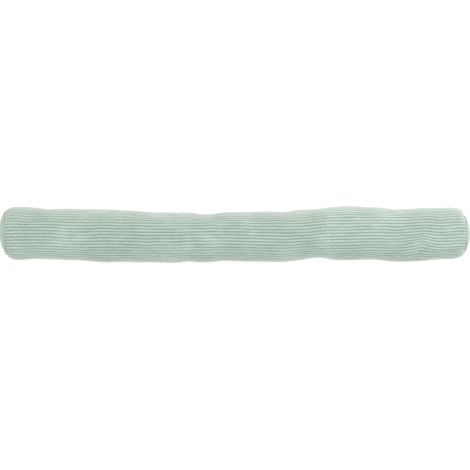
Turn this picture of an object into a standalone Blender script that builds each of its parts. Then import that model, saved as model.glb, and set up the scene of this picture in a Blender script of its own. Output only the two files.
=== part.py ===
"""Draught excluder: a long filled tube of wide-ribbed corduroy, with a round panel piped into each end.

Metres, +Z up. The tube runs along X and lies on the floor at Z = 0, with the middle of its box at X = Y = 0.
It is soft, so its outline wanders: SECTIONS says where its middle lies and how wide and high it is along its length.
"""

import math
from typing import NamedTuple

import bmesh
import bpy
from mathutils import Vector

MM = 0.001
OVERALL_LENGTH = 0.900

# Corduroy: a rib is flat-topped between its two shoulders, given as shares of the pitch from one valley to the next
RIB_COUNT = 50
RIB_DEPTH = 1.5 * MM
RIB_SHOULDERS = (0.28, 0.72)
PANEL_RIB_PITCH = 5.9 * MM
PANEL_RIB_DEPTH = 1.3 * MM

# The filled tube: its section is a superellipse above the middle, and rests on a flat below it
CROWN_POWER = 2.35
MIDDLE_HEIGHT_SHARE = 0.46
FLAT_SHARE = 0.38
RIBS_FLAT_BELOW = 0.4 * MM
RIBS_FULL_ABOVE = 4.4 * MM
GATHER_POWER = 3
GATHER_LIMIT = 1.25

# The shoulders, where the tube draws in to its end seams
SHOULDER_INSIDE = 3.1 * MM
SHOULDER_ABOVE = 3.3 * MM
SHOULDER_LENGTH = 26 * MM
SHOULDER_POWER = 3.0
SHOULDER_RINGS_INSIDE = (SHOULDER_INSIDE, 4.4 * MM, 7.6 * MM, 12.0 * MM, 17.5 * MM)
TABLE_RINGS_INSIDE = 20 * MM
SETTLE_INSIDE = 8 * MM
SETTLE_LENGTH = 46 * MM

# The end seams
PIPING_RADIUS = 2.3 * MM
PIPING_POINTS = 48
SEAM_MIDDLE_HEIGHT = 42.3 * MM
PANEL_COLUMNS = 16
PANEL_RIBS_WITHIN = 0.955
PANEL_EDGE_ROW = 0.19
TURN_LENGTH = 75 * MM
RIBS_SETTLE_LENGTH = 9 * MM

TUBE_COLOUR = (0.45, 0.56, 0.49, 1.0)
PANEL_COLOUR = (0.43, 0.54, 0.47, 1.0)
PIPING_COLOUR = (0.40, 0.50, 0.44, 1.0)


class Section(NamedTuple):
    """One place along the tube, in millimetres.

    x: distance along the tube from the middle
    across: how far the tube's middle lies towards +Y
    width, height: over the ribs
    drift: how far the cloth has slipped round the filling, towards +Y over the top
    """

    x: float
    across: float
    width: float
    height: float
    drift: float


SECTIONS = (
    Section(-434, 2.3, 101.4, 84.6, 4.4),
    Section(-418, 2.3, 101.4, 84.6, 5.3),
    Section(-400, 2.2, 100.4, 84.6, 5.4),
    Section(-380, 2.2, 97.6, 85.4, 5.4),
    Section(-350, 0.9, 96.5, 86.2, 6.5),
    Section(-320, 0.3, 97.9, 85.4, 5.1),
    Section(-286, -0.7, 98.8, 84.6, 5.6),
    Section(-248, -2.5, 100.5, 83.6, 8.2),
    Section(-210, -3.1, 99.9, 84.0, 8.1),
    Section(-165, -4.7, 95.9, 86.4, 9.0),
    Section(-123, -5.8, 95.7, 86.6, 10.1),
    Section(-85, -5.6, 93.5, 87.8, 10.3),
    Section(-56, -6.3, 92.2, 88.5, 11.3),
    Section(-18, -4.4, 93.5, 87.8, 9.8),
    Section(30, -4.1, 94.4, 87.2, 8.4),
    Section(62, -4.1, 95.8, 86.4, 7.4),
    Section(92, -3.8, 96.4, 86.0, 6.4),
    Section(125, -0.8, 95.2, 86.6, 5.0),
    Section(160, 2.2, 94.9, 86.8, 4.8),
    Section(192, 2.4, 100.9, 83.4, 5.8),
    Section(221, 2.8, 102.3, 82.6, 6.4),
    Section(259, 2.3, 100.7, 83.4, 7.5),
    Section(298, -0.7, 100.7, 83.4, 10.3),
    Section(336, -1.2, 101.2, 83.0, 11.4),
    Section(362, 0.2, 100.9, 83.4, 11.8),
    Section(393, 1.9, 98.0, 85.0, 8.8),
    Section(414, 2.5, 98.6, 84.8, 9.2),
    Section(434, 2.5, 98.6, 84.8, 10.9),
)


class SeamRing(NamedTuple):
    """A ring of cloth round the piping, in millimetres.

    inside: how far it lies from the seam's plane
    outside: how far it stands outside the piping's middle line
    """

    inside: float
    outside: float


TUBE_SEAM_RINGS = (SeamRing(0.15, -2.95), SeamRing(2.5, -2.0))
PANEL_SEAM_RINGS = (SeamRing(2.52, -0.85), SeamRing(2.1, -1.9), SeamRing(0.15, -2.85))


class Dent(NamedTuple):
    """A soft hollow, in millimetres, with its turn from the crown towards +Y and its spread round the tube in degrees."""

    x: float
    turn: float
    depth: float
    along: float
    around: float


DENTS = (
    Dent(-368, 46, 2.4, 24, 26),
    Dent(-300, -50, 1.4, 26, 26),
    Dent(-118, 50, 2.0, 26, 22),
    Dent(-45, 46, 1.8, 24, 24),
    Dent(126, -52, 2.2, 20, 26),
    Dent(262, -38, 1.4, 30, 30),
    Dent(345, -48, 2.2, 20, 28),
    Dent(380, 20, 1.2, 20, 40),
)


class End(NamedTuple):
    """One closed end.

    side: -1 at the left, 1 at the right
    reach: how far the overall length goes past the seam
    dome: how far the panel stands out of the seam's plane
    half_width, half_height: from the middle of the seam to the piping's middle line
    shoulder: how far the tube stands outside that line at its sides, next to the piping
    across: how far the seam's middle lies towards +Y
    turn: how much further out the seam's +Y side is, for each metre across
    fullness: the power of the dome, where 2 is a plain dome and more is flatter in its middle
    """

    name: str
    side: int
    reach: float
    dome: float
    half_width: float
    half_height: float
    shoulder: float
    across: float
    turn: float
    fullness: float


LEFT = End(
    name="left",
    side=-1,
    reach=12.3 * MM,
    dome=12.0 * MM,
    half_width=39.7 * MM,
    half_height=36.0 * MM,
    shoulder=5.7 * MM,
    across=2.8 * MM,
    turn=0.04,
    fullness=2.6,
)
RIGHT = End(
    name="right",
    side=1,
    reach=11.6 * MM,
    dome=11.6 * MM,
    half_width=33.6 * MM,
    half_height=38.5 * MM,
    shoulder=6.9 * MM,
    across=0.9 * MM,
    turn=0.0,
    fullness=1.9,
)


def seam_x(end):
    """Where an end's piping lies along the tube."""
    return end.side * (OVERALL_LENGTH / 2 - end.reach)


def smooth_step(t):
    t = min(1.0, max(0.0, t))
    return t * t * (3 - 2 * t)


def from_table(x, column):
    """A column of SECTIONS at x, straight between the rows, in metres."""
    rows = [(row.x * MM, getattr(row, column) * MM) for row in SECTIONS]
    if x <= rows[0][0]:
        return rows[0][1]
    for (x0, value0), (x1, value1) in zip(rows, rows[1:]):
        if x <= x1:
            return value0 + (value1 - value0) * (x - x0) / (x1 - x0)
    return rows[-1][1]


class Outline(NamedTuple):
    """A cross-section over the ribs.

    across, half_width: where its middle lies towards +Y, and its half width
    under, middle, top: the heights of its underside, its widest place and its crown
    power: the superellipse's power above the middle, where 2 is an ellipse
    flat: half the width of the flat that it rests on
    """

    across: float
    half_width: float
    under: float
    middle: float
    top: float
    power: float
    flat: float


def seam_outline(end, aside, above):
    """The ellipse that runs this far outside an end's piping line, at its sides and at its top."""
    half_height = end.half_height + above
    return Outline(
        end.across,
        end.half_width + aside,
        SEAM_MIDDLE_HEIGHT - half_height,
        SEAM_MIDDLE_HEIGHT,
        SEAM_MIDDLE_HEIGHT + half_height,
        2.0,
        0.0,
    )


def full_outline(x):
    """The section of the filled tube at x, before a seam draws it in."""
    height = from_table(x, "height")
    half_width = from_table(x, "width") / 2
    return Outline(
        from_table(x, "across"),
        half_width,
        0.0,
        height * MIDDLE_HEIGHT_SHARE,
        height,
        CROWN_POWER,
        half_width * FLAT_SHARE,
    )


def tube_outline(x, end, inside):
    """The tube's section at x. It fills out from its seam to the table's size over the length of the shoulder."""
    seam = seam_outline(end, end.shoulder, SHOULDER_ABOVE)
    full = full_outline(x)
    t = min(1.0, max(0.0, (inside - SHOULDER_INSIDE) / SHOULDER_LENGTH))
    grown = 1 - (1 - t) ** SHOULDER_POWER
    mixed = [a + (b - a) * grown for a, b in zip(seam, full)]
    settled = smooth_step((inside - SETTLE_INSIDE) / SETTLE_LENGTH)
    return Outline(*mixed)._replace(flat=full.flat * settled)


def trace(outline):
    """A fine track round a section from the middle of its underside towards +Y, and its running length."""
    steps = 720
    track = [(0.0, outline.under)]
    for i in range(1, steps):
        turn = 2 * math.pi * i / steps - math.pi / 2
        c, s = math.cos(turn), math.sin(turn)
        if s > 0:
            reach = abs(c) ** (2 / outline.power) * outline.half_width
            rise = s ** (2 / outline.power) * (outline.top - outline.middle)
        else:
            reach = outline.flat + abs(c) * (outline.half_width - outline.flat)
            rise = s * (outline.middle - outline.under)
        track.append((math.copysign(reach, c), outline.middle + rise))
    track.append(track[0])
    lengths = [0.0]
    for here, there in zip(track, track[1:]):
        lengths.append(lengths[-1] + math.dist(here, there))
    return track, lengths


def places_on(track, lengths, shares):
    """The point and the outward normal at each share of the way round a track."""
    found = []
    k = 0
    for share in shares:
        want = lengths[-1] * share
        while lengths[k + 1] < want:
            k += 1
        (y0, z0), (y1, z1) = track[k], track[k + 1]
        part = (want - lengths[k]) / (lengths[k + 1] - lengths[k])
        point = Vector((y0 + (y1 - y0) * part, z0 + (z1 - z0) * part))
        found.append((point, Vector((z1 - z0, y0 - y1)).normalized()))
    return found


def dent_depth(x, share):
    """How far the dents push the surface in. Shares run round from the underside by +Y, so the crown is at a half."""
    turn = (0.5 - share) * 360
    depth = 0.0
    for dent in DENTS:
        along = (x / MM - dent.x) / dent.along
        around = (turn - dent.turn) / dent.around
        depth += dent.depth * MM * math.exp(-along * along - around * around)
    return depth


def gathered(share, tightness):
    """Where a share of the cloth lies on a ring that is too tight for it. The spare cloth is taken up underneath."""
    turn = 2 * share - 1
    spare = min(tightness, GATHER_LIMIT) - 1
    return 0.5 + 0.5 * turn * (1 + spare - spare * abs(turn) ** GATHER_POWER)


def turn_shift(end, over, inside=0.0):
    """How far the turn of an end seam carries cloth along the tube that lies this far towards +Y of its middle."""
    fade = 1 - smooth_step(inside / TURN_LENGTH)
    return end.side * end.turn * fade * over


def seam_middle(end):
    return Vector((seam_x(end), end.across, SEAM_MIDDLE_HEIGHT))


def tube_ring(x, end, inside, outline, rib_depth):
    """The points of one ring of the tube: a valley and two shoulders for each rib."""
    track, lengths = trace(outline)
    girth = trace(full_outline(x))[1][-1]
    shares = []
    for rib in range(RIB_COUNT):
        for part in (0.0, *RIB_SHOULDERS):
            share = ((rib + part) / RIB_COUNT - from_table(x, "drift") / girth) % 1.0
            shares.append((gathered(share, girth / lengths[-1]), part == 0.0))
    turned = sorted((share, i) for i, (share, _) in enumerate(shares))
    ring = [None] * len(shares)
    places = places_on(track, lengths, [share for share, _ in turned])
    for (share, i), (point, out) in zip(turned, places):
        sunk = dent_depth(x, share) if rib_depth > 0 else 0.0
        if shares[i][1]:
            above = (point.y - RIBS_FLAT_BELOW) / (RIBS_FULL_ABOVE - RIBS_FLAT_BELOW)
            sunk += rib_depth * smooth_step(above)
        spot = point - out * sunk
        y = outline.across + spot.x
        ring[i] = Vector((x + turn_shift(end, y - end.across, inside), y, spot.y))
    return ring


def tube_rings():
    """Every ring of the tube from left to right."""
    ends = {}
    for end in (LEFT, RIGHT):
        rings = []
        for seam in TUBE_SEAM_RINGS:
            inside = seam.inside * MM
            x = seam_x(end) - end.side * inside
            outline = seam_outline(end, seam.outside * MM, seam.outside * MM)
            rings.append(tube_ring(x, end, inside, outline, 0.0))
        for inside in SHOULDER_RINGS_INSIDE:
            x = seam_x(end) - end.side * inside
            outline = tube_outline(x, end, inside)
            rib_depth = RIB_DEPTH * smooth_step(inside / RIBS_SETTLE_LENGTH)
            rings.append(tube_ring(x, end, inside, outline, rib_depth))
        ends[end.name] = rings
    between = []
    for section in SECTIONS:
        x = section.x * MM
        end = LEFT if x < 0 else RIGHT
        inside = (seam_x(end) - x) * end.side
        if inside > TABLE_RINGS_INSIDE:
            outline = tube_outline(x, end, inside)
            between.append(tube_ring(x, end, inside, outline, RIB_DEPTH))
    return ends["left"] + between + ends["right"][::-1]


def lofted(name, rings):
    """A closed mesh through rings of equally many points, with a flat face on the first and last."""
    made = bmesh.new()
    rows = [[made.verts.new(point) for point in ring] for ring in rings]
    count = len(rows[0])
    for low, high in zip(rows, rows[1:]):
        for i in range(count):
            j = (i + 1) % count
            made.faces.new((low[i], low[j], high[j], high[i]))
    made.faces.new(rows[0][::-1])
    made.faces.new(rows[-1])
    return mesh_from(name, made)


def mesh_from(name, made):
    bmesh.ops.recalc_face_normals(made, faces=made.faces)
    mesh = bpy.data.meshes.new(name)
    made.to_mesh(mesh)
    made.free()
    mesh.shade_smooth()
    return mesh


def panel_rows(half_height):
    """Heights of the end panel's rows from its middle, as (height, 1 in a valley and 0 on a rib)."""
    rows = []
    ribs = math.ceil(half_height / PANEL_RIB_PITCH)
    for rib in range(-ribs, ribs):
        for part in (0.0, *RIB_SHOULDERS):
            height = (rib + 0.5 + part) * PANEL_RIB_PITCH
            if abs(height) < PANEL_RIBS_WITHIN * half_height:
                rows.append((height, 1.0 if part == 0.0 else 0.0))
    return [(-half_height, 0.0), *rows, (half_height, 0.0)]


def panel_mesh(end):
    """The domed end panel, round the middle of its seam: a ribbed sheet with its edge turned in behind the piping."""
    rim = PANEL_SEAM_RINGS[0]
    half_width = end.half_width + rim.outside * MM
    half_height = end.half_height + rim.outside * MM
    rows = panel_rows(half_height)
    made = bmesh.new()
    bmesh.ops.create_grid(
        made, x_segments=PANEL_COLUMNS, y_segments=len(rows) - 1, size=1
    )
    for vert in made.verts:
        row = round((vert.co.y + 1) / 2 * (len(rows) - 1))
        z, valley = rows[row]
        along = math.sin(math.pi / 2 * vert.co.x)
        if abs(z) < half_height:
            y = along * half_width * math.sqrt(1 - (z / half_height) ** 2)
        else:
            y = along * half_width * PANEL_EDGE_ROW
            z = math.copysign(half_height * math.sqrt(1 - (y / half_width) ** 2), z)
        out = math.hypot(y / half_width, z / half_height)
        outward = rim.inside * MM + (end.dome - rim.inside * MM) * (1 - out**end.fullness)
        outward -= valley * PANEL_RIB_DEPTH * (1 - out**8)
        vert.co = Vector((outward, y, z))
    for here, there in zip(PANEL_SEAM_RINGS, PANEL_SEAM_RINGS[1:]):
        edges = [edge for edge in made.edges if edge.is_boundary]
        turned_in = bmesh.ops.extrude_edge_only(made, edges=edges)["geom"]
        wide = (end.half_width + there.outside * MM) / (end.half_width + here.outside * MM)
        high = (end.half_height + there.outside * MM) / (end.half_height + here.outside * MM)
        for vert in turned_in:
            if isinstance(vert, bmesh.types.BMVert):
                vert.co = Vector((there.inside * MM, vert.co.y * wide, vert.co.z * high))
    rim_edges = [edge for edge in made.edges if edge.is_boundary]
    bmesh.ops.contextual_create(made, geom=rim_edges)
    for vert in made.verts:
        vert.co.x = end.side * vert.co.x + turn_shift(end, vert.co.y)
    return mesh_from("end_" + end.name, made)


def piping_curve(end):
    """The covered cord round the middle of its seam: a closed curve with a round bevel."""
    curve = bpy.data.curves.new("piping_" + end.name, "CURVE")
    curve.dimensions = "3D"
    curve.bevel_depth = PIPING_RADIUS
    curve.bevel_resolution = 2
    line = curve.splines.new("POLY")
    line.points.add(PIPING_POINTS - 1)
    line.use_cyclic_u = True
    line.use_smooth = True
    for i, point in enumerate(line.points):
        turn = 2 * math.pi * i / PIPING_POINTS
        y, z = end.half_width * math.cos(turn), end.half_height * math.sin(turn)
        point.co = (turn_shift(end, y), y, z, 1.0)
    return curve


def add_part(name, data, colour, parent, location=(0.0, 0.0, 0.0)):
    """Links one piece with a cloth material of its own, under the empty that stands for the whole object."""
    material = bpy.data.materials.new(name + "_cloth")
    material.use_nodes = True
    shader = material.node_tree.nodes["Principled BSDF"]
    shader.inputs["Base Color"].default_value = colour
    shader.inputs["Roughness"].default_value = 0.95
    shader.inputs["Metallic"].default_value = 0.0
    data.materials.append(material)
    part = bpy.data.objects.new(name, data)
    part.location = location
    part.parent = parent
    parent.users_collection[0].objects.link(part)


for thing in list(bpy.data.objects):
    bpy.data.objects.remove(thing)

collection = bpy.data.collections.new("draught_excluder")
bpy.context.scene.collection.children.link(collection)
excluder = bpy.data.objects.new("draught_excluder", None)
collection.objects.link(excluder)

add_part("body", lofted("body", tube_rings()), TUBE_COLOUR, excluder)
for end in (LEFT, RIGHT):
    middle = seam_middle(end)
    add_part("end_" + end.name, panel_mesh(end), PANEL_COLOUR, excluder, middle)
    add_part("piping_" + end.name, piping_curve(end), PIPING_COLOUR, excluder, middle)
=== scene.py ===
# %% [markdown]
# # A draught excluder in wide corduroy
#
# A draught excluder is a long stuffed tube that lies along the foot of a door. This one is sewn from
# wide-ribbed corduroy in a pale sage green. The ribs run along the tube, a round panel closes each end, and
# a covered cord, called piping, is sewn into each end seam.
#
# Its plain solids are already packed as a fixed frame. This lesson builds the cloth that shows, over those
# solids. The frame's box is measured first, so that the finished cloth can be set against it at the end.

# %% Load the fixed frame
import math
from typing import NamedTuple

import bpy
import numpy as np
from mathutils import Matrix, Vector


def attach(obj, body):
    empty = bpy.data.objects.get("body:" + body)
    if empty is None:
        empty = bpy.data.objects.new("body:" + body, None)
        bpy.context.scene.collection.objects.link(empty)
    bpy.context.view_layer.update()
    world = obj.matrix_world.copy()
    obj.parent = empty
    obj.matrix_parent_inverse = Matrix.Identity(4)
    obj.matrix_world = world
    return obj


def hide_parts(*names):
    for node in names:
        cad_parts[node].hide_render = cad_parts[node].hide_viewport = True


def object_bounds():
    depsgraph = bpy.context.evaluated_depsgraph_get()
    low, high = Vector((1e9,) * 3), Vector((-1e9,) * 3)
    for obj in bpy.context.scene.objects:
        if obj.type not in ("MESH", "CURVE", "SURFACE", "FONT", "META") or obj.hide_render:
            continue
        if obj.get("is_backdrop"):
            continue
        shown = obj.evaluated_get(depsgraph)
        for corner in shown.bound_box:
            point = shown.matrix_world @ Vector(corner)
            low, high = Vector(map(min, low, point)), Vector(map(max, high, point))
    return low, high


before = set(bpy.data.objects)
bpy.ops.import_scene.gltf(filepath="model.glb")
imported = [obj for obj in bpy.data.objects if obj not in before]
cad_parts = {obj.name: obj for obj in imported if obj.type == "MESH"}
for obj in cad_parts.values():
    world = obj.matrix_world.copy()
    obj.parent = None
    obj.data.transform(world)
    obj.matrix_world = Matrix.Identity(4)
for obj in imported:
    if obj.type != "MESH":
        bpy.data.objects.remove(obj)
frame_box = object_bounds()
MM = 0.001


def in_mm(values):
    """Metres as millimetres, for printing."""
    return [round(float(value) / MM, 1) for value in values]


print("frame from", in_mm(frame_box[0]), "to", in_mm(frame_box[1]), "mm")

# %% [markdown]
# ## The tube's sizes
#
# A stuffed tube is never straight. Its middle wanders, it is wide and low where the filling has spread, and
# narrow and high where it hasn't, because its cloth has the same girth all along. One row for each place
# along the tube says all of that. The last column tells how far the cloth has slipped round the filling,
# which is what makes the ribs wander too. The rows are those of the solid, so the cloth lies where the
# solid is.


# %% One row for each place along the tube
class Section(NamedTuple):
    """In millimetres: x along the tube, its middle across, its width and height, and the cloth's slip."""

    x: float
    across: float
    width: float
    height: float
    slip: float


SECTIONS = (
    Section(-434, 2.3, 101.4, 84.6, 4.4),
    Section(-418, 2.3, 101.4, 84.6, 5.3),
    Section(-400, 2.2, 100.4, 84.6, 5.4),
    Section(-380, 2.2, 97.6, 85.4, 5.4),
    Section(-350, 0.9, 96.5, 86.2, 6.5),
    Section(-320, 0.3, 97.9, 85.4, 5.1),
    Section(-286, -0.7, 98.8, 84.6, 5.6),
    Section(-248, -2.5, 100.5, 83.6, 8.2),
    Section(-210, -3.1, 99.9, 84.0, 8.1),
    Section(-165, -4.7, 95.9, 86.4, 9.0),
    Section(-123, -5.8, 95.7, 86.6, 10.1),
    Section(-85, -5.6, 93.5, 87.8, 10.3),
    Section(-56, -6.3, 92.2, 88.5, 11.3),
    Section(-18, -4.4, 93.5, 87.8, 9.8),
    Section(30, -4.1, 94.4, 87.2, 8.4),
    Section(62, -4.1, 95.8, 86.4, 7.4),
    Section(92, -3.8, 96.4, 86.0, 6.4),
    Section(125, -0.8, 95.2, 86.6, 5.0),
    Section(160, 2.2, 94.9, 86.8, 4.8),
    Section(192, 2.4, 100.9, 83.4, 5.8),
    Section(221, 2.8, 102.3, 82.6, 6.4),
    Section(259, 2.3, 100.7, 83.4, 7.5),
    Section(298, -0.7, 100.7, 83.4, 10.3),
    Section(336, -1.2, 101.2, 83.0, 11.4),
    Section(362, 0.2, 100.9, 83.4, 11.8),
    Section(393, 1.9, 98.0, 85.0, 8.8),
    Section(414, 2.5, 98.6, 84.8, 9.2),
    Section(434, 2.5, 98.6, 84.8, 10.9),
)
print(len(SECTIONS), "rows from", SECTIONS[0].x, "to", SECTIONS[-1].x, "mm")

# %% [markdown]
# ## The two ends
#
# Each end draws in over a soft shoulder to an oval seam, and a domed panel closes it. Two stuffed ends
# never come out alike: here the left seam is a little wider than high and a little askew, and the right one
# is narrow and tall. So each end is a row of its own, again with the solid's sizes.

# %% One row for each end
OVERALL_LENGTH = 0.900


class End(NamedTuple):
    """One end of the tube, in millimetres.

    side: -1 at the left, 1 at the right
    reach: the length past the seam
    dome: how far the end panel stands out
    half_width, half_height: the seam's size
    shoulder: how far the tube stands outside the seam's line at its sides, next to the piping
    across: how far the seam's middle lies towards +Y
    turn: how much further out the seam's +Y side is, for each millimetre across
    fullness: the power of the dome, where 2 is a plain dome and more is flatter in its middle
    """

    name: str
    side: int
    reach: float
    dome: float
    half_width: float
    half_height: float
    shoulder: float
    across: float
    turn: float
    fullness: float


ENDS = (
    End("left", -1, 12.3, 12.0, 39.7, 36.0, shoulder=5.7, across=2.8, turn=0.04, fullness=2.6),
    End("right", 1, 11.6, 11.6, 33.6, 38.5, shoulder=6.9, across=0.9, turn=0.0, fullness=1.9),
)


def seam_x(end):
    """Where an end's piping lies along the tube."""
    return end.side * (OVERALL_LENGTH / 2 - end.reach * MM)


def place_along(end, inside):
    """Where the tube is this far inside an end's seam."""
    return seam_x(end) - end.side * inside


print("seams at", in_mm(seam_x(end) for end in ENDS), "mm")

# %% [markdown]
# ## A smooth curve through the rows
#
# Straight lines between the rows would leave corners in the outline. A cubic curve through them has none.
# It needs a value and a slope at each row, and NumPy's gradient gives the slopes, so no curve object has to
# be made.


# %% Read the table at any place
def from_table(x, column):
    """A column of the table at places x, on a smooth curve through its rows, in metres."""
    places = np.array([row.x for row in SECTIONS]) * MM
    values = np.array([getattr(row, column) for row in SECTIONS]) * MM
    slopes = np.gradient(values, places)
    slopes[[0, -1]] = 0.0
    x = np.clip(x, places[0], places[-1])
    i = np.clip(np.searchsorted(places, x) - 1, 0, len(places) - 2)
    gap = places[i + 1] - places[i]
    rise = values[i + 1] - values[i]
    t = (x - places[i]) / gap
    bend = (1 - t) * (slopes[i] * gap - rise) + t * (rise - slopes[i + 1] * gap)
    return values[i] + t * rise + t * (1 - t) * bend


middle_size = [from_table(0.0, column) for column in ("width", "height")]
print("width and height in the middle", in_mm(middle_size), "mm")

# %% [markdown]
# ## The section at each place
#
# Cut across, the tube is flattened a little at its crown, and below its widest place two quarter rounds run
# down to the strip that it rests on. Towards an end it draws in to the size of its seam. A superellipse
# gives the crown, because one number turns it from a plain ellipse at the seam into the fuller form of the
# stuffed part.

# %% Work out the sections
MIDDLE_HEIGHT_SHARE = 0.46
CROWN_POWER = 2.35
FLAT_SHARE = 0.38
SEAM_MIDDLE_HEIGHT = 42.3 * MM
SHOULDER_INSIDE = 3.1 * MM
SHOULDER_ABOVE = 3.3 * MM
SHOULDER_LENGTH = 26 * MM
SHOULDER_POWER = 3
SETTLE_INSIDE = 8 * MM
SETTLE_LENGTH = 46 * MM


class Outline(NamedTuple):
    """A section across the tube, in metres.

    under, middle, top: heights of its underside, its widest place and its crown
    power: of the superellipse over its widest place
    flat: half the width of the strip that rests on the floor
    """

    across: float
    half_width: float
    under: float
    middle: float
    top: float
    power: float
    flat: float


def smooth_step(t):
    t = np.clip(t, 0.0, 1.0)
    return t * t * (3 - 2 * t)


def seam_outline(end, aside, above):
    """The ellipse that stands this far outside the piping's middle line, at its sides and at its crown."""
    half_height = end.half_height * MM + above
    under, top = SEAM_MIDDLE_HEIGHT - half_height, SEAM_MIDDLE_HEIGHT + half_height
    half_width = end.half_width * MM + aside
    return Outline(end.across * MM, half_width, under, SEAM_MIDDLE_HEIGHT, top, power=2.0, flat=0.0)


def full_outline(x):
    """The section of the stuffed tube at a place, before its ends draw it in."""
    half_width = from_table(x, "width") / 2
    height = from_table(x, "height")
    flat = FLAT_SHARE * half_width
    across, middle = from_table(x, "across"), MIDDLE_HEIGHT_SHARE * height
    return Outline(across, half_width, 0.0, middle, height, CROWN_POWER, flat)


def tube_outline(end, inside):
    """The section this far inside an end's seam, filled out from the piping's size over the shoulder."""
    seam = seam_outline(end, end.shoulder * MM, SHOULDER_ABOVE)
    full = full_outline(place_along(end, inside))
    t = np.clip((inside - SHOULDER_INSIDE) / SHOULDER_LENGTH, 0.0, 1.0)
    share = 1 - (1 - t) ** SHOULDER_POWER
    drawn_in = Outline(*(narrow + (wide - narrow) * share for narrow, wide in zip(seam, full)))
    return drawn_in._replace(flat=full.flat * smooth_step((inside - SETTLE_INSIDE) / SETTLE_LENGTH))


print("in the middle", full_outline(0.0))

# %% [markdown]
# ## A track round each section
#
# Ribs lie at even distances on the cloth, so a section has to be measured along its own line. A fine track
# of points with its running length does that for any form, where a formula for the length of a superellipse
# would be long. The track's whole length is the cloth's girth.

# %% Measure round a section
TRACK_STEPS = 720


def track_of(outline):
    """A fine track from the middle of the underside towards +Y and all round, with its running length."""
    across, half_width, under, middle, top, power, flat = outline
    turn = 2 * np.pi * np.arange(1, TRACK_STEPS) / TRACK_STEPS - np.pi / 2
    c, s = np.cos(turn), np.sin(turn)
    upper = s > 0
    reach = np.where(upper, np.abs(c) ** (2 / power) * half_width, flat + np.abs(c) * (half_width - flat))
    rise = np.where(upper, np.abs(s) ** (2 / power) * (top - middle), s * (middle - under))
    y = np.concatenate([[0.0], np.copysign(reach, c), [0.0]]) + across
    z = np.concatenate([[under], middle + rise, [under]])
    lengths = np.concatenate([[0.0], np.cumsum(np.hypot(np.diff(y), np.diff(z)))])
    return y, z, lengths


def girth_of(outline):
    return track_of(outline)[2][-1]


print("girth in the middle", round(float(girth_of(full_outline(0.0))) / MM, 1), "mm")

# %% [markdown]
# ## Rings of points along the tube
#
# The cloth is a grid: rings round the tube at many places, each with the same number of points. At the ends
# the rings crowd together. There the cloth comes out of the seam, hugs the piping, and rolls out over the
# shoulder, further at the sides than at the crown. A grid was chosen over a sculpted or remeshed form
# because the ribs have to follow its lines from end to end.

# %% Choose where the rings lie
PIPING_RADIUS = 2.3 * MM
HUGS_UP_TO = PIPING_RADIUS * 0.6


class LipRing(NamedTuple):
    """A ring of cloth at the seam, in millimetres.

    inside: how far it lies from the seam's plane
    outside: how far it stands outside the piping's middle line
    """

    inside: float
    outside: float


LIP = (
    LipRing(0.15, -2.9),
    LipRing(1.0, -2.5),
    LipRing(1.8, -1.95),
    LipRing(2.35, -1.2),
    LipRing(2.5, -0.4),
    LipRing(2.38, 0.5),
    LipRing(2.0, 1.25),
    LipRing(1.75, 1.9),
    LipRing(1.95, 2.6),
    LipRing(2.4, 3.05),
)


def lip_outline(end, ring):
    """A ring hugs the piping at first, and past that it widens at its sides towards the shoulder."""
    above = ring.outside * MM
    aside = above * end.shoulder * MM / SHOULDER_ABOVE if above > HUGS_UP_TO else above
    return seam_outline(end, aside, above)


def end_rings(end, first_step, growth, longest_step):
    """Rings from an end's flat face, round the piping and over the shoulder, and how far inside they stop."""
    rings = [(end, ring.inside * MM, lip_outline(end, ring)) for ring in LIP]
    inside = SHOULDER_INSIDE
    step = first_step
    while step < longest_step:
        rings.append((end, inside, tube_outline(end, inside)))
        inside += step
        step *= growth
    return rings, inside


def all_rings(first_step, growth, longest_step):
    """Every ring from left to right, as its end, how far inside that end's seam it lies, and its outline."""
    left, left_inside = end_rings(ENDS[0], first_step, growth, longest_step)
    right, right_inside = end_rings(ENDS[1], first_step, growth, longest_step)
    start = seam_x(ENDS[0]) + left_inside
    stop = seam_x(ENDS[1]) - right_inside
    count = round((stop - start) / longest_step) + 1
    between = []
    for x in np.linspace(start, stop, count):
        end = ENDS[0] if x < 0 else ENDS[1]
        inside = (seam_x(end) - x) * end.side
        between.append((end, inside, tube_outline(end, inside)))
    return left + between + right[::-1]


fine_rings = all_rings(first_step=0.45 * MM, growth=1.17, longest_step=4.2 * MM)
print(len(fine_rings), "rings of cloth")

# %% [markdown]
# ## Pulls in the cloth
#
# Here and there the filling has dragged the cloth along, and the ribs bow for a few centimetres. Each pull
# is a soft push of the rib lines on the unrolled cloth, which leaves the form as it is. Its place is given
# along the tube and round from the crown, with +Y positive, and so is the way that it pushes, all in
# millimetres. The two largest rows, near the right end, make the sharp kink there.


# %% One row for each pull
class Pull(NamedTuple):
    """by: how far the ribs are pushed round the tube. along and across: how far the pull reaches."""

    x: float
    round: float
    by: float
    along: float
    across: float


PULLS = (
    Pull(-388, 30, -2.4, 18, 16),
    Pull(-218, 18, -1.4, 18, 12),
    Pull(-168, -19, -1.1, 15, 14),
    Pull(-119, 18, 1.5, 22, 12),
    Pull(-46, 12, 1.5, 16, 13),
    Pull(83, 21, 1.2, 15, 15),
    Pull(83, -30, 1.1, 18, 13),
    Pull(143, -4, -1.2, 16, 13),
    Pull(211, 6, -0.8, 18, 13),
    Pull(302, 0, -1.2, 16, 14),
    Pull(336, -33, 2.6, 20, 20),
    Pull(354, -33, 4.2, 13, 22),
    Pull(383, 2, -0.9, 20, 24),
)
print(len(PULLS), "pulls, the largest by", max(abs(pull.by) for pull in PULLS), "mm")

# %% [markdown]
# ## Points on the rings
#
# Each rib takes eight points: close together in the groove, where the pile parts sharply, and wide apart
# over the round of the rib. A point's share is how far round the ring it lies, starting under the tube.
# Shifting the shares by the cloth's slip and its pulls carries the ribs round the filling, as it has on the
# real tube. Where the tube draws in to a seam the cloth is too wide for it. The ribs keep their distance
# over the crown, and the spare cloth is gathered underneath.

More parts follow.
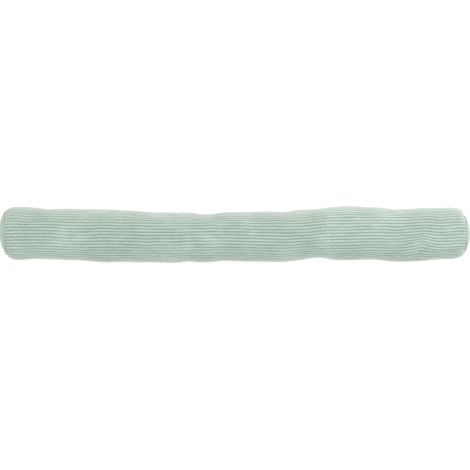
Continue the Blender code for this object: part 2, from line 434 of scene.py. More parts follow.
# %% Place the points
RIB_COUNT = 50
RIB_PARTS = (0.0, 0.07, 0.18, 0.33, 0.5, 0.67, 0.82, 0.93)
TURN_LENGTH = 75 * MM
GATHER_LIMIT = 1.25
GATHER_POWER = 3


def rib_places(parts):
    """The places of the points round the cloth, counted in ribs."""
    return (np.arange(RIB_COUNT)[:, None] + np.array(parts)).ravel()


def ring_x(end, inside, y):
    """Where a point of a ring lies along the tube, with the turn of the nearest end."""
    fade = 1 - smooth_step(inside / TURN_LENGTH)
    return place_along(end, inside) + end.side * end.turn * fade * (y - end.across * MM)


def slipped(share, x, girth):
    """Shares of the cloth, moved by its slip and its pulls."""
    moved = share - from_table(x, "slip") / girth
    for pull in PULLS:
        away = ((0.5 - share) * girth / MM - pull.round) / pull.across
        reach = math.exp(-(((x / MM - pull.x) / pull.along) ** 2))
        moved = moved - pull.by * MM / girth * reach * np.exp(-away * away)
    return moved % 1.0


def gathered(share, tightness):
    """Where shares of the cloth lie round a ring that is too tight for it by the given ratio."""
    turn = 2 * share - 1
    spare = min(tightness, GATHER_LIMIT) - 1
    return 0.5 + 0.5 * turn * (1 + spare - spare * np.abs(turn) ** GATHER_POWER)


def place_rings(rings, parts, slipping):
    """Points of every ring as a grid, and each point's share round its ring."""
    steady = rib_places(parts) / RIB_COUNT
    grid, shares = [], []
    for end, inside, outline in rings:
        x = place_along(end, inside)
        y, z, lengths = track_of(outline)
        girth = girth_of(full_outline(x))
        share = slipped(steady, x, girth) if slipping else steady
        share = gathered(share, girth / lengths[-1])
        ring_y = np.interp(share * lengths[-1], lengths, y)
        ring_z = np.interp(share * lengths[-1], lengths, z)
        grid.append(np.stack([ring_x(end, inside, ring_y), ring_y, ring_z], axis=1))
        shares.append(share)
    return np.array(grid), np.array(shares)


cloth, cloth_share = place_rings(fine_rings, RIB_PARTS, slipping=True)
print("cloth grid", cloth.shape[:2])

# %% [markdown]
# ## Fill the tube
#
# Stuffing presses on the cloth from inside, and the cloth is a little too large for it, so it rises in soft
# swells between the places that hold it. Blender's Cloth does this: a coarse copy of the tube is held fast
# at its seams and along the strip on the floor, and softly by its filling elsewhere. It is allowed to grow
# by a small share and is blown up by pressure with gravity off. Twenty frames are enough.

# %% Simulate the filling
SIM_PARTS = (0.0, 0.5)
SIM_FRAMES = 20
FILLING_HOLD = 0.1
HELD_BELOW = 1.2 * MM
HELD_RINGS = 4
GROWTH = 0.016
CLOTH_SETTINGS = {
    "quality": 6,
    "mass": 0.15,
    "tension_stiffness": 20,
    "compression_stiffness": 20,
    "shear_stiffness": 10,
    "bending_stiffness": 4,
    "tension_damping": 12,
    "compression_damping": 12,
    "shrink_min": -GROWTH,
    "use_pressure": True,
    "uniform_pressure_force": 4.0,
}


def new_piece(name, points, faces):
    """A smooth object in the scene."""
    mesh = bpy.data.meshes.new(name)
    mesh.from_pydata(points.reshape(-1, 3).tolist(), [], faces)
    mesh.shade_smooth()
    piece = bpy.data.objects.new(name, mesh)
    bpy.context.scene.collection.objects.link(piece)
    return piece


def closed_tube(name, grid):
    """An object over a grid of points that closes round its columns, with a flat face on each end ring."""
    rows, columns = grid.shape[:2]
    index = np.arange(rows * columns).reshape(rows, columns)
    after = np.roll(index, -1, axis=1)
    quads = np.stack([index[:-1], after[:-1], after[1:], index[1:]], axis=2).reshape(-1, 4)
    return new_piece(name, grid, quads.tolist() + [index[0][::-1].tolist(), index[-1].tolist()])


def blown_up(grid):
    """How far the filling moves each point of a coarse grid."""
    bag = closed_tube("filling_bag", grid)
    held = bag.vertex_groups.new(name="held")
    fast = grid[:, :, 2] < HELD_BELOW
    fast[:HELD_RINGS] = True
    fast[-HELD_RINGS:] = True
    held.add([int(i) for i in np.flatnonzero(fast)], 1.0, "REPLACE")
    held.add([int(i) for i in np.flatnonzero(~fast)], FILLING_HOLD, "REPLACE")
    modifier = bag.modifiers.new("filling", "CLOTH")
    for name, value in CLOTH_SETTINGS.items():
        setattr(modifier.settings, name, value)
    modifier.settings.vertex_group_mass = held.name
    modifier.settings.effector_weights.gravity = 0
    modifier.collision_settings.use_collision = False
    modifier.collision_settings.use_self_collision = False
    modifier.point_cache.frame_end = SIM_FRAMES
    scene = bpy.context.scene
    for step in range(1, SIM_FRAMES + 1):
        scene.frame_set(step)
    evaluated = bag.evaluated_get(bpy.context.evaluated_depsgraph_get())
    after = np.empty(len(evaluated.data.vertices) * 3, np.float32)
    evaluated.data.vertices.foreach_get("co", after)
    moved = after.reshape(grid.shape) - grid
    scene.frame_set(1)
    bpy.data.objects.remove(bag)
    return moved


coarse_rings = all_rings(first_step=1.2 * MM, growth=1.3, longest_step=6.0 * MM)
coarse, coarse_share = place_rings(coarse_rings, SIM_PARTS, slipping=False)
movement = blown_up(coarse)
print("coarse grid", coarse.shape[:2], "moved up to", in_mm([np.abs(movement).max()]), "mm")

# %% [markdown]
# ## Keep the local part of the movement
#
# The table was measured from the outline, so the broad form has to stay where the table puts it. Of the
# movement only the part that changes within a few centimetres is kept: its average over a short reach, less
# its average over a long one. It is then capped at a millimetre.

# %% Take the broad part away
SMOOTH_REACH = 9 * MM
BROAD_REACH = 45 * MM
MOST_MOVEMENT = 1.0 * MM
TINY = 1e-9


def ring_places(rings):
    return np.array([place_along(end, inside) for end, inside, _ in rings])


def averaged(values, places, reach):
    """Each ring's values, averaged with those of the rings near it."""
    near = np.exp(-(((places[:, None] - places[None, :]) / reach) ** 2)) * np.gradient(places)[None, :]
    return np.tensordot(near / near.sum(axis=1, keepdims=True), values, axes=1)


coarse_places = ring_places(coarse_rings)
movement = averaged(movement, coarse_places, SMOOTH_REACH) - averaged(movement, coarse_places, BROAD_REACH)
length = np.linalg.norm(movement, axis=2, keepdims=True)
movement *= np.tanh(length / MOST_MOVEMENT) / np.maximum(length / MOST_MOVEMENT, TINY)
print("largest and mean local movement, before the cap", in_mm([length.max(), length.mean()]), "mm")

# %% [markdown]
# ## Carry the movement to the fine cloth
#
# The coarse tube and the fine cloth share their shape, so a movement found on one belongs at the same place
# on the other. It is read along the tube first and then round it.


# %% Move the fine cloth
def carried(movement, from_rings, from_share, to_rings, to_share):
    """Movement of a coarse grid, read at every point of a fine grid."""
    from_x, to_x = ring_places(from_rings), ring_places(to_rings)
    row = np.interp(to_x, from_x, np.arange(len(from_x)))
    low = np.clip(row.astype(int), 0, len(from_x) - 2)
    part = (row - low)[:, None, None]
    rows = movement[low] * (1 - part) + movement[low + 1] * part
    moved = np.zeros((*to_share.shape, 3))
    for i in range(len(to_x)):
        for axis in range(3):
            moved[i, :, axis] = np.interp(to_share[i], from_share[0], rows[i, :, axis], period=1.0)
    return moved


filled = carried(movement, coarse_rings, coarse_share, fine_rings, cloth_share)
cloth = cloth + filled
print("the filling moves the fine cloth up to", in_mm([np.linalg.norm(filled, axis=2).max()]), "mm")

# %% [markdown]
# ## Hollows and creases
#
# Filling sinks unevenly, and a bent tube folds a little on the inside of its bend. A hollow is a soft round
# dip, or a swell where its depth is negative. A crease is a short furrow across the ribs with a low swell
# on each side. Both are placed on the unrolled cloth: x along the tube, and round from the crown
# with +Y positive, all in millimetres.


# %% One row for each hollow and crease
class Hollow(NamedTuple):
    x: float
    round: float
    depth: float
    along: float
    across: float


class Crease(NamedTuple):
    """angle: the furrow's turn from the tube's length, in degrees."""

    x: float
    round: float
    depth: float
    length: float
    width: float
    angle: float


HOLLOWS = (
    Hollow(-368, 38, 2.4, 24, 21),
    Hollow(-300, -41, 1.4, 26, 21),
    Hollow(-118, 41, 2.0, 26, 18),
    Hollow(-45, 38, 1.8, 24, 20),
    Hollow(126, -43, 2.2, 20, 21),
    Hollow(262, -31, 1.4, 30, 25),
    Hollow(345, -40, 2.2, 20, 23),
    Hollow(380, 16, 1.2, 20, 33),
    Hollow(431, 60, -2.2, 9, 26),
    Hollow(434, -58, -1.2, 7, 22),
)
CREASES = (
    Crease(347, -34, 1.6, 18, 4.5, 80),
    Crease(372, -20, 0.8, 26, 4.5, 96),
)
print(len(HOLLOWS), "hollows and swells, and", len(CREASES), "creases")

# %% [markdown]
# ## Press them in
#
# Every row sinks the cloth along its normals, which is quick to write and keeps the ribs' lines as they
# are. A brush or a lattice would need a hand at each place. The hollows fade out at the seams, where the
# piping holds the cloth, and nothing may sink through the floor.

# %% Press in the hollows and creases
CREASE_SWELL = 0.45
CREASE_SWELL_AWAY = 2.0
FADE_INSIDE = 2.2 * MM
FADE_LENGTH = 2 * MM


def unit(vectors):
    return vectors / np.maximum(np.linalg.norm(vectors, axis=-1, keepdims=True), 1e-12)


def round_the_tube(grid):
    """The way from each point's neighbour on one side to that on the other."""
    return np.roll(grid, -1, axis=1) - np.roll(grid, 1, axis=1)


def normals_of(grid):
    """Outward normals of a grid that closes round its columns."""
    return unit(np.cross(round_the_tube(grid), np.gradient(grid, axis=0)))


def hollow_depth(hollow, x, round_crown):
    away = ((x - hollow.x) / hollow.along) ** 2 + ((round_crown - hollow.round) / hollow.across) ** 2
    return hollow.depth * MM * np.exp(-away)


def crease_depth(crease, x, round_crown):
    c, s = math.cos(math.radians(crease.angle)), math.sin(math.radians(crease.angle))
    down = (x - crease.x) * c + (round_crown - crease.round) * s
    aside = ((round_crown - crease.round) * c - (x - crease.x) * s) / crease.width
    furrow = np.exp(-aside * aside) - CREASE_SWELL * np.exp(-((np.abs(aside) - CREASE_SWELL_AWAY) ** 2))
    return crease.depth * MM * furrow * np.exp(-((down / crease.length) ** 2))


girths = np.array([girth_of(outline) for _, _, outline in fine_rings])
cloth_x = ring_places(fine_rings)[:, None] / MM
cloth_round = (0.5 - cloth_share) * girths[:, None] / MM
sunk = np.zeros(cloth_share.shape)
for hollow in HOLLOWS:
    sunk += hollow_depth(hollow, cloth_x, cloth_round)
for crease in CREASES:
    sunk += crease_depth(crease, cloth_x, cloth_round)
inside_seam = np.array([inside for _, inside, _ in fine_rings])[:, None]
sunk *= smooth_step((inside_seam - FADE_INSIDE) / FADE_LENGTH)
cloth = cloth - normals_of(cloth) * sunk[:, :, None]
cloth[:, :, 2] = np.maximum(cloth[:, :, 2], 0.0)
print("sunk by", in_mm([sunk.min(), sunk.max()]), "mm at the least and at the most")

# %% [markdown]
# ## Ribs by Geometry Nodes
#
# The ribs of corduroy are all alike, so they are made by one node tree and not by hand. Every point knows
# its place within its rib, from 0 in one groove to 1 in the next, and how far its rib stands up there,
# which is less under the piping and nothing where the floor presses it flat. The tree's inputs are the
# groove's depth, how round the rib is, how uneven the ribs are, a seed for that, and the finish. The same
# tree then serves the tube and both end panels.


# %% Name the rib tree's inputs
def new_tree(name, kind, inputs, outputs):
    """A node tree with named sockets, each given with its kind."""
    tree = bpy.data.node_groups.new(name, kind)
    for way, sockets in (("INPUT", inputs), ("OUTPUT", outputs)):
        for socket_name, socket_kind in sockets.items():
            tree.interface.new_socket(socket_name, in_out=way, socket_type="NodeSocket" + socket_kind)
    return tree


RIB_INPUTS = {
    "Cloth": "Geometry",
    "Groove Depth": "Float",
    "Roundness": "Float",
    "Unevenness": "Float",
    "Seed": "Float",
    "Finish": "Material",
}
rib_tree = new_tree("corduroy_ribs", "GeometryNodeTree", RIB_INPUTS, {"Cloth": "Geometry"})
print("rib tree takes", list(RIB_INPUTS))

# %% [markdown]
# ## The nodes of the rib tree
#
# The tree sinks each point along its normal by a rounded profile of its place in the rib. A little noise
# makes some stretches of pile stand lower than others. It ends by making everything real and setting the
# finish, so that the result can be turned into a plain mesh.

# %% Fill the rib tree
UNEVEN_SCALE = 55.0


def new_node(tree, kind, place, **settings):
    node = tree.nodes.new(kind)
    node.location = place
    for name, value in settings.items():
        setattr(node, name, value)
    return node


def feed(tree, socket, value):
    """Links a socket to another one, or sets it to a value."""
    if isinstance(value, bpy.types.NodeSocket):
        tree.links.new(value, socket)
    else:
        socket.default_value = value


def maths(tree, operation, place, *values):
    """A Math node with its inputs linked to sockets or set to numbers."""
    node = new_node(tree, "ShaderNodeMath", place, operation=operation)
    for socket, value in zip(node.inputs, values):
        feed(tree, socket, value)
    return node.outputs[0]


def named_value(tree, place, name):
    node = new_node(tree, "GeometryNodeInputNamedAttribute", place, data_type="FLOAT")
    node.inputs["Name"].default_value = name
    return node.outputs["Attribute"]


def sunk_by(tree, given):
    """How far each point sinks, as a share of the rib's profile and of how far the rib stands up there."""
    from_groove = maths(tree, "PINGPONG", (-1000, 300), named_value(tree, (-1200, 300), "rib_place"), 0.5)
    from_crest = maths(tree, "MULTIPLY_ADD", (-820, 300), from_groove, -2.0, 1.0)
    profile = maths(tree, "POWER", (-640, 300), from_crest, given["Roundness"])
    noise = new_node(tree, "ShaderNodeTexNoise", (-1000, -100), noise_dimensions="4D")
    noise.inputs["Scale"].default_value = UNEVEN_SCALE
    noise.inputs["Detail"].default_value = 1.0
    feed(tree, noise.inputs["W"], given["Seed"])
    centred = maths(tree, "SUBTRACT", (-820, -100), noise.outputs[0], 0.5)
    varied = maths(tree, "MULTIPLY_ADD", (-640, -100), centred, given["Unevenness"], 1.0)
    standing = maths(tree, "MULTIPLY", (-460, 100), named_value(tree, (-1200, 150), "rib_stand"), varied)
    deep = maths(tree, "MULTIPLY", (-460, 300), profile, given["Groove Depth"])
    return maths(tree, "MULTIPLY", (-280, 250), deep, standing)


def fill_rib_tree(tree):
    given = new_node(tree, "NodeGroupInput", (-1200, 0)).outputs
    inward = maths(tree, "MULTIPLY", (-100, 250), sunk_by(tree, given), -1.0)
    normal = new_node(tree, "GeometryNodeInputNormal", (-280, 50))
    offset = new_node(tree, "ShaderNodeVectorMath", (80, 200), operation="SCALE")
    feed(tree, offset.inputs[0], normal.outputs["Normal"])
    feed(tree, offset.inputs["Scale"], inward)
    pressed = new_node(tree, "GeometryNodeSetPosition", (260, 0))
    feed(tree, pressed.inputs["Geometry"], given["Cloth"])
    feed(tree, pressed.inputs["Offset"], offset.outputs["Vector"])
    real = new_node(tree, "GeometryNodeRealizeInstances", (440, 0))
    feed(tree, real.inputs["Geometry"], pressed.outputs["Geometry"])
    finished = new_node(tree, "GeometryNodeSetMaterial", (620, 0))
    feed(tree, finished.inputs["Geometry"], real.outputs["Geometry"])
    feed(tree, finished.inputs["Material"], given["Finish"])
    out = new_node(tree, "NodeGroupOutput", (800, 0))
    feed(tree, out.inputs["Cloth"], finished.outputs["Geometry"])


fill_rib_tree(rib_tree)
print("rib tree with", len(rib_tree.nodes), "nodes")

# %% [markdown]
# ## Corduroy as a shader
#
# Jumbo corduroy is cut pile: each rib is a brush of short upright tufts, with a groove between the ribs. The
# shade in each groove is painted into the colour as a thin dark line, on top of the shade of the raised ribs.
# The painted shade is fainter where the pile has fallen over the groove. One node group holds the pile, with
# the cloth's own UV map in metres as its map: x along the rib and y across the ribs. The tube, the end panels
# and the piping each give it their own numbers. Its first nodes make the colour from the groove's painted
# shade to the crest.

# %% Colour the ribs and the grooves
FALLEN_SCALE = 38.0
FALLEN_FROM = 0.45
FALLEN_TO = 0.75
FALLEN_SHARE = 0.6
PILE_INPUTS = {
    "Cloth Map": "Vector",
    "Place": "Vector",
    "Rib Pitch": "Float",
    "Crest Colour": "Color",
    "Groove Shade Colour": "Color",
    "Groove Shade Width": "Float",
    "Nap": "Float",
    "Clumps": "Float",
    "Tufts": "Float",
}


def mixed_colour(tree, place, blend, share, first, second):
    """A colour Mix node."""
    node = new_node(tree, "ShaderNodeMix", place, data_type="RGBA", blend_type=blend)
    for socket, value in ((node.inputs[0], share), (node.inputs[6], first), (node.inputs[7], second)):
        feed(tree, socket, value)
    return node.outputs[2]


def noise_at(tree, place, vector, scale, detail, roughness=0.5):
    node = new_node(tree, "ShaderNodeTexNoise", place)
    node.inputs["Scale"].default_value = scale
    node.inputs["Detail"].default_value = detail
    node.inputs["Roughness"].default_value = roughness
    feed(tree, node.inputs["Vector"], vector)
    return node.outputs[0]


def ribs_and_grooves(tree, given):
    """How near each place is to its rib's crest, from 0 in the groove, and the colour from the groove's
    painted shade to the crest.
    """
    split = new_node(tree, "ShaderNodeSeparateXYZ", (-1400, 300))
    feed(tree, split.inputs[0], given["Cloth Map"])
    ribs = maths(tree, "DIVIDE", (-1220, 300), split.outputs["Y"], given["Rib Pitch"])
    from_groove = maths(tree, "PINGPONG", (-1040, 300), ribs, 0.5)
    crest = new_node(tree, "ShaderNodeMapRange", (-860, 300), interpolation_type="SMOOTHSTEP")
    feed(tree, crest.inputs["Value"], from_groove)
    feed(tree, crest.inputs["From Max"], given["Groove Shade Width"])
    fallen = new_node(tree, "ShaderNodeMapRange", (-860, 60))
    feed(tree, fallen.inputs["Value"], noise_at(tree, (-1220, 60), given["Place"], FALLEN_SCALE, 1.0))
    fallen.inputs["From Min"].default_value = FALLEN_FROM
    fallen.inputs["From Max"].default_value = FALLEN_TO
    fallen.inputs["To Max"].default_value = FALLEN_SHARE
    # Painted shade in the grooves, fainter where the fallen pile covers them.
    showing = maths(tree, "MAXIMUM", (-700, 180), crest.outputs[0], fallen.outputs[0])
    colour = mixed_colour(tree, (-540, 300), "MIX", showing, given["Groove Shade Colour"], given["Crest Colour"])
    return crest.outputs[0], colour


PILE_OUTPUTS = {"Colour": "Color", "Pile Height": "Float"}
pile_group = new_tree("corduroy_pile", "ShaderNodeTree", PILE_INPUTS, PILE_OUTPUTS)
pile_given = new_node(pile_group, "NodeGroupInput", (-1600, 0)).outputs
near_crest, rib_colour = ribs_and_grooves(pile_group, pile_given)
print("pile group takes", list(PILE_INPUTS))

# %% [markdown]
# ## Brushed pile, clumps and tufts
#
# The pile is paler where it is brushed one way and darker where it is brushed the other, so soft patches of
# both lie over the tube, and streaks along the ribs. Along a rib it parts in small clumps, and within them
# single tufts show. Each is noise on the cloth map, stretched to its own size. Patches go over the whole
# form, so they are read from the place on the object.

# %% Shade the pile
PATCHES = 17.0
STREAKS = (26.0, 170.0, 1.0)
CLUMPS = (330.0, 170.0, 1.0)
TUFTS = (2600.0, 1100.0, 1.0)


def stretched_noise(tree, height, vector, scale, detail, roughness=0.5):
    """Noise with its own scale along and across the ribs, for each metre."""
    node = new_node(tree, "ShaderNodeMapping", (-1400, height))
    node.inputs["Scale"].default_value = scale
    feed(tree, node.inputs["Vector"], vector)
    return noise_at(tree, (-1220, height), node.outputs[0], 1.0, detail, roughness)


def round_one(tree, height, noise, strength, middle=0.5):
    """Noise turned into a factor round 1."""
    centred = maths(tree, "SUBTRACT", (-1040, height), noise, middle)
    return maths(tree, "MULTIPLY_ADD", (-880, height), centred, strength, 1.0)


def pile_shade(tree, given):
    """The pile's light and dark as one factor, and its tufts."""
    patches = noise_at(tree, (-1400, -50), given["Place"], PATCHES, 2.0)
    streaks = stretched_noise(tree, -250, given["Cloth Map"], STREAKS, 1.0)
    brushed = maths(tree, "ADD", (-1220, -100), patches, streaks)
    tufts = stretched_noise(tree, -450, given["Cloth Map"], TUFTS, 2.0, 0.6)
    clumps = stretched_noise(tree, -650, given["Cloth Map"], CLUMPS, 1.0)
    shade = round_one(tree, -150, brushed, given["Nap"], middle=1.0)
    shade = maths(tree, "MULTIPLY", (-560, -250), shade, round_one(tree, -450, tufts, given["Tufts"]))
    shade = maths(tree, "MULTIPLY", (-560, -450), shade, round_one(tree, -650, clumps, given["Clumps"]))
    return shade, tufts


shade, tufts = pile_shade(pile_group, pile_given)
shades = new_node(pile_group, "ShaderNodeCombineColor", (-400, -250))
for channel in shades.inputs:
    feed(pile_group, channel, shade)
pile_out = new_node(pile_group, "NodeGroupOutput", (60, 0))
pile_colour = mixed_colour(pile_group, (-200, 200), "MULTIPLY", 1.0, rib_colour, shades.outputs[0])
feed(pile_group, pile_out.inputs["Colour"], pile_colour)
pile_height = maths(pile_group, "MULTIPLY", (-400, -450), tufts, near_crest)
feed(pile_group, pile_out.inputs["Pile Height"], pile_height)
print("pile group with", len(pile_group.nodes), "nodes")

# %% [markdown]
# ## The materials
#
# Seen along its fibres, a pile shows their dark depths, and seen from the side it shows their pale tips. So
# the cloth is painted paler and greyer where it curves away from the eye: a painted sheen. The shader's sheen
# alone is too weak for a pile this thick, so a Facing value mixes a pale grey into the base colour. It is
# taken from the way that the pile stands over the plain form, an attribute of each piece, because the sides
# of the ribs would otherwise all turn white. The end panels and the piping get less of this painted sheen.
# The piping is wrapped in a strip of the same cloth whose pile is pulled flat, so it has hardly any rib.

# %% Make the cloth materials
RIB_PITCH = 5.9 * MM
# The pale grey of the painted sheen, and the Facing values over which it is mixed into the colour.
PAINTED_SHEEN_COLOUR = (0.86, 0.80, 0.81, 1.0)
PAINTED_SHEEN_FROM = 0.15
PAINTED_SHEEN_TO = 0.9


class Finish(NamedTuple):
    """The numbers that differ from cloth to cloth.

    groove_shade_width: how far the groove's painted shade reaches, where a half would be the crest
    nap, clumps, tufts: how strongly each of them shows
    bump: how high the tufts stand, in metres
    tips: the share of the pale painted sheen where the pile is seen from its side
    """

    crest: tuple
    groove_shade: tuple
    groove_shade_width: float
    nap: float
    clumps: float
    tufts: float
    sheen: float
    bump: float
    tips: float


# The groove colours are painted shade in the grooves; the crest colours are the cloth's own.
TUBE_FINISH = Finish(
    crest=(0.505, 0.610, 0.538, 1.0),
    groove_shade=(0.280, 0.375, 0.313, 1.0),
    groove_shade_width=0.34,
    nap=0.30,
    clumps=0.38,
    tufts=0.3,
    sheen=0.3,
    bump=0.25 * MM,
    tips=0.29,
)
# The end panels get a weaker painted sheen.
PANEL_FINISH = TUBE_FINISH._replace(tips=0.2)
PIPING_FINISH = Finish(
    crest=(0.48, 0.59, 0.52, 1.0),
    groove_shade=(0.42, 0.52, 0.455, 1.0),
    groove_shade_width=0.30,
    nap=0.25,
    clumps=0.3,
    tufts=0.2,
    sheen=0.4,
    bump=0.15 * MM,
    tips=0.2,
)


def painted_sheen_share(tree, most):
    """The share of the painted sheen: 0 where the eye looks down into the pile, most where it looks across.
    """
    stand = new_node(tree, "ShaderNodeAttribute", (-1000, 480), attribute_name="pile")
    to_world = {"vector_type": "NORMAL", "convert_from": "OBJECT", "convert_to": "WORLD"}
    turned = new_node(tree, "ShaderNodeVectorTransform", (-800, 480), **to_world)
    feed(tree, turned.inputs["Vector"], stand.outputs["Vector"])
    facing = new_node(tree, "ShaderNodeLayerWeight", (-600, 480))
    feed(tree, facing.inputs["Normal"], turned.outputs["Vector"])
    share = new_node(tree, "ShaderNodeMapRange", (-420, 480), interpolation_type="SMOOTHSTEP")
    share.inputs["From Min"].default_value = PAINTED_SHEEN_FROM
    share.inputs["From Max"].default_value = PAINTED_SHEEN_TO
    share.inputs["To Max"].default_value = most
    feed(tree, share.inputs["Value"], facing.outputs["Facing"])
    return share.outputs[0]


def cloth_material(name, finish):
    material = bpy.data.materials.new(name)
    material.use_nodes = True
    tree = material.node_tree
    shader = tree.nodes["Principled BSDF"]
    shader.inputs["Roughness"].default_value = 0.92
    shader.inputs["Specular IOR Level"].default_value = 0.18
    shader.inputs["Sheen Weight"].default_value = finish.sheen
    shader.inputs["Sheen Roughness"].default_value = 0.35
    shader.inputs["Sheen Tint"].default_value = (1.0, 1.0, 1.0, 1.0)
    pile = new_node(tree, "ShaderNodeGroup", (-400, 200), node_tree=pile_group)
    place = new_node(tree, "ShaderNodeTexCoord", (-800, 100))
    cloth_map = new_node(tree, "ShaderNodeUVMap", (-800, 300), uv_map="cloth")
    feed(tree, pile.inputs["Cloth Map"], cloth_map.outputs["UV"])
    feed(tree, pile.inputs["Place"], place.outputs["Object"])
    feed(tree, pile.inputs["Rib Pitch"], RIB_PITCH)
    feed(tree, pile.inputs["Crest Colour"], finish.crest)
    feed(tree, pile.inputs["Groove Shade Colour"], finish.groove_shade)
    feed(tree, pile.inputs["Groove Shade Width"], finish.groove_shade_width)
    feed(tree, pile.inputs["Nap"], finish.nap)
    feed(tree, pile.inputs["Clumps"], finish.clumps)
    feed(tree, pile.inputs["Tufts"], finish.tufts)
    raised = new_node(tree, "ShaderNodeBump", (-180, -200))
    raised.inputs["Strength"].default_value = 0.6
    raised.inputs["Distance"].default_value = finish.bump
    feed(tree, raised.inputs["Height"], pile.outputs["Pile Height"])
    feed(tree, shader.inputs["Normal"], raised.outputs["Normal"])
    # Painted sheen: a pale grey mixed into the base colour where the cloth turns from the eye.
    share = painted_sheen_share(tree, finish.tips)
    colour = mixed_colour(tree, (-180, 300), "MIX", share, pile.outputs["Colour"], PAINTED_SHEEN_COLOUR)
    feed(tree, shader.inputs["Base Color"], colour)
    return material


corduroy = cloth_material("sage_corduroy", TUBE_FINISH)
panel_corduroy = cloth_material("sage_corduroy_end", PANEL_FINISH)
piping_cloth = cloth_material("sage_piping_cloth", PIPING_FINISH)
print("materials", corduroy.name, panel_corduroy.name, piping_cloth.name)

# %% [markdown]
# ## The way the pile stands, for the painted sheen
#
# Each point of a piece keeps the way that its pile stands before the ribs rise, and the painted sheen reads
# it. On the tube the pile doesn't stand quite upright: it leans a little round the tube, towards +Y at the
# crown. The far side then gets more of the painted sheen than the near side does, so it is painted paler. In
# the seams the pile is taken to stand as it does on the shoulder, or they would shine with painted sheen.

# %% Lay out the tube's cloth and pile
PAINTED_SHEEN_LEAN = 0.16


def keep_sheen_normal(piece, stands=None):
    """Keeps the way that the pile stands at each point for the painted sheen, upright where nothing else is
    given.
    """
    if stands is None:
        stands = np.empty((len(piece.data.vertices), 3), np.float32)
        piece.data.vertex_normals.foreach_get("vector", stands.ravel())
    attribute = piece.data.attributes.new("pile", "FLOAT_VECTOR", "POINT")
    attribute.data.foreach_set("vector", stands.astype(np.float32).ravel())


def keep_map(piece, corners):
    """Keeps the place of every face's corners on the flat cloth, in metres."""
    layer = piece.data.uv_layers.new(name="cloth")
    layer.data.foreach_set("uv", corners.astype(np.float32).ravel())


tube = closed_tube("tube_cover", cloth)
rows, columns = cloth.shape[:2]
flat_cloth = np.zeros((rows, columns + 1, 2))
flat_cloth[:, :, 0] = ring_places(fine_rings)[:, None]
flat_cloth[:, :, 1] = np.append(rib_places(RIB_PARTS), RIB_COUNT)[None, :] * RIB_PITCH
corners = [flat_cloth[:-1, :-1], flat_cloth[:-1, 1:], flat_cloth[1:, 1:], flat_cloth[1:, :-1]]
end_faces = np.zeros((2 * columns, 2))
keep_map(tube, np.concatenate([np.stack(corners, axis=2).reshape(-1, 2), end_faces]))
# The pile leans towards +Y at the crown, so the painted sheen is paler on the far side.
tube_sheen_normal = unit(normals_of(cloth) - PAINTED_SHEEN_LEAN * unit(round_the_tube(cloth)))
tube_sheen_normal[: len(LIP)] = tube_sheen_normal[len(LIP)]
tube_sheen_normal[-len(LIP) :] = tube_sheen_normal[-len(LIP) - 1]
keep_sheen_normal(tube, tube_sheen_normal)
print("flat cloth", in_mm(np.ptp(flat_cloth, axis=(0, 1))), "mm")

# %% [markdown]
# ## Raise the ribs on the tube
#
# Each point is told its place in its rib and how far the rib stands up there: near the floor and at the
# seams the ribs die away. The tree's result is turned into a plain mesh, so that nothing is left live on
# it.

# %% Raise the tube's ribs
GROOVE_DEPTH = 1.5 * MM
RIBS_FLAT_BELOW = 0.4 * MM
RIBS_RISE_OVER = 4.0 * MM
RIBS_FLAT_INSIDE = 1.5 * MM
RIBS_RISE_LENGTH = 5 * MM
rib_settings = {
    "Groove Depth": GROOVE_DEPTH,
    "Roundness": 2.2,
    "Unevenness": 0.35,
    "Seed": 3.0,
    "Finish": corduroy,
}


def raise_ribs(piece, rib_place, rib_stand, settings):
    """Runs the rib tree on a piece and leaves a plain mesh."""
    for name, values in (("rib_place", rib_place), ("rib_stand", rib_stand)):
        attribute = piece.data.attributes.new(name, "FLOAT", "POINT")
        attribute.data.foreach_set("value", values.astype(np.float32).ravel())
    modifier = piece.modifiers.new("ribs", "NODES")
    modifier.node_group = rib_tree
    for item in rib_tree.interface.items_tree:
        if item.in_out == "INPUT" and item.name in settings:
            modifier[item.identifier] = settings[item.name]
    evaluated = piece.evaluated_get(bpy.context.evaluated_depsgraph_get())
    mesh = bpy.data.meshes.new_from_object(evaluated)
    piece.modifiers.remove(modifier)
    piece.data = mesh


off_the_floor = smooth_step((cloth[:, :, 2] - RIBS_FLAT_BELOW) / RIBS_RISE_OVER)
off_the_seam = smooth_step((inside_seam - RIBS_FLAT_INSIDE) / RIBS_RISE_LENGTH)
raise_ribs(tube, np.tile(rib_places(RIB_PARTS) % 1.0, (rows, 1)), off_the_floor * off_the_seam, rib_settings)
print("tube cover", len(tube.data.polygons), "faces")

# %% [markdown]
# ## The end panels
#
# Each end is a round of the same corduroy with its ribs lying level. The filling domes it, so it is flat in
# the middle and falls away quickly to its seam. It is a sheet of rows across the end: every row has the
# same number of points and is as long as the round is wide at that height, so that a rib follows a row from
# edge to edge.

# %% Lay out the end panels
PANEL_COLUMNS = 96
PANEL_RIM = LipRing(2.45, -0.8)
PANEL_ROWS_WITHIN = 0.985
PANEL_EDGE_ROW = 0.09


def panel_rows(half_height):
    """Heights of the panel's rows from its middle, each with its place in its rib."""
    ribs = math.ceil(half_height / RIB_PITCH)
    rows = [(-half_height, None)]
    for rib in range(-ribs, ribs):
        for part in RIB_PARTS:
            height = (rib + 0.5 + part) * RIB_PITCH
            if abs(height) < PANEL_ROWS_WITHIN * half_height:
                rows.append((height, part))
    return rows + [(half_height, None)]


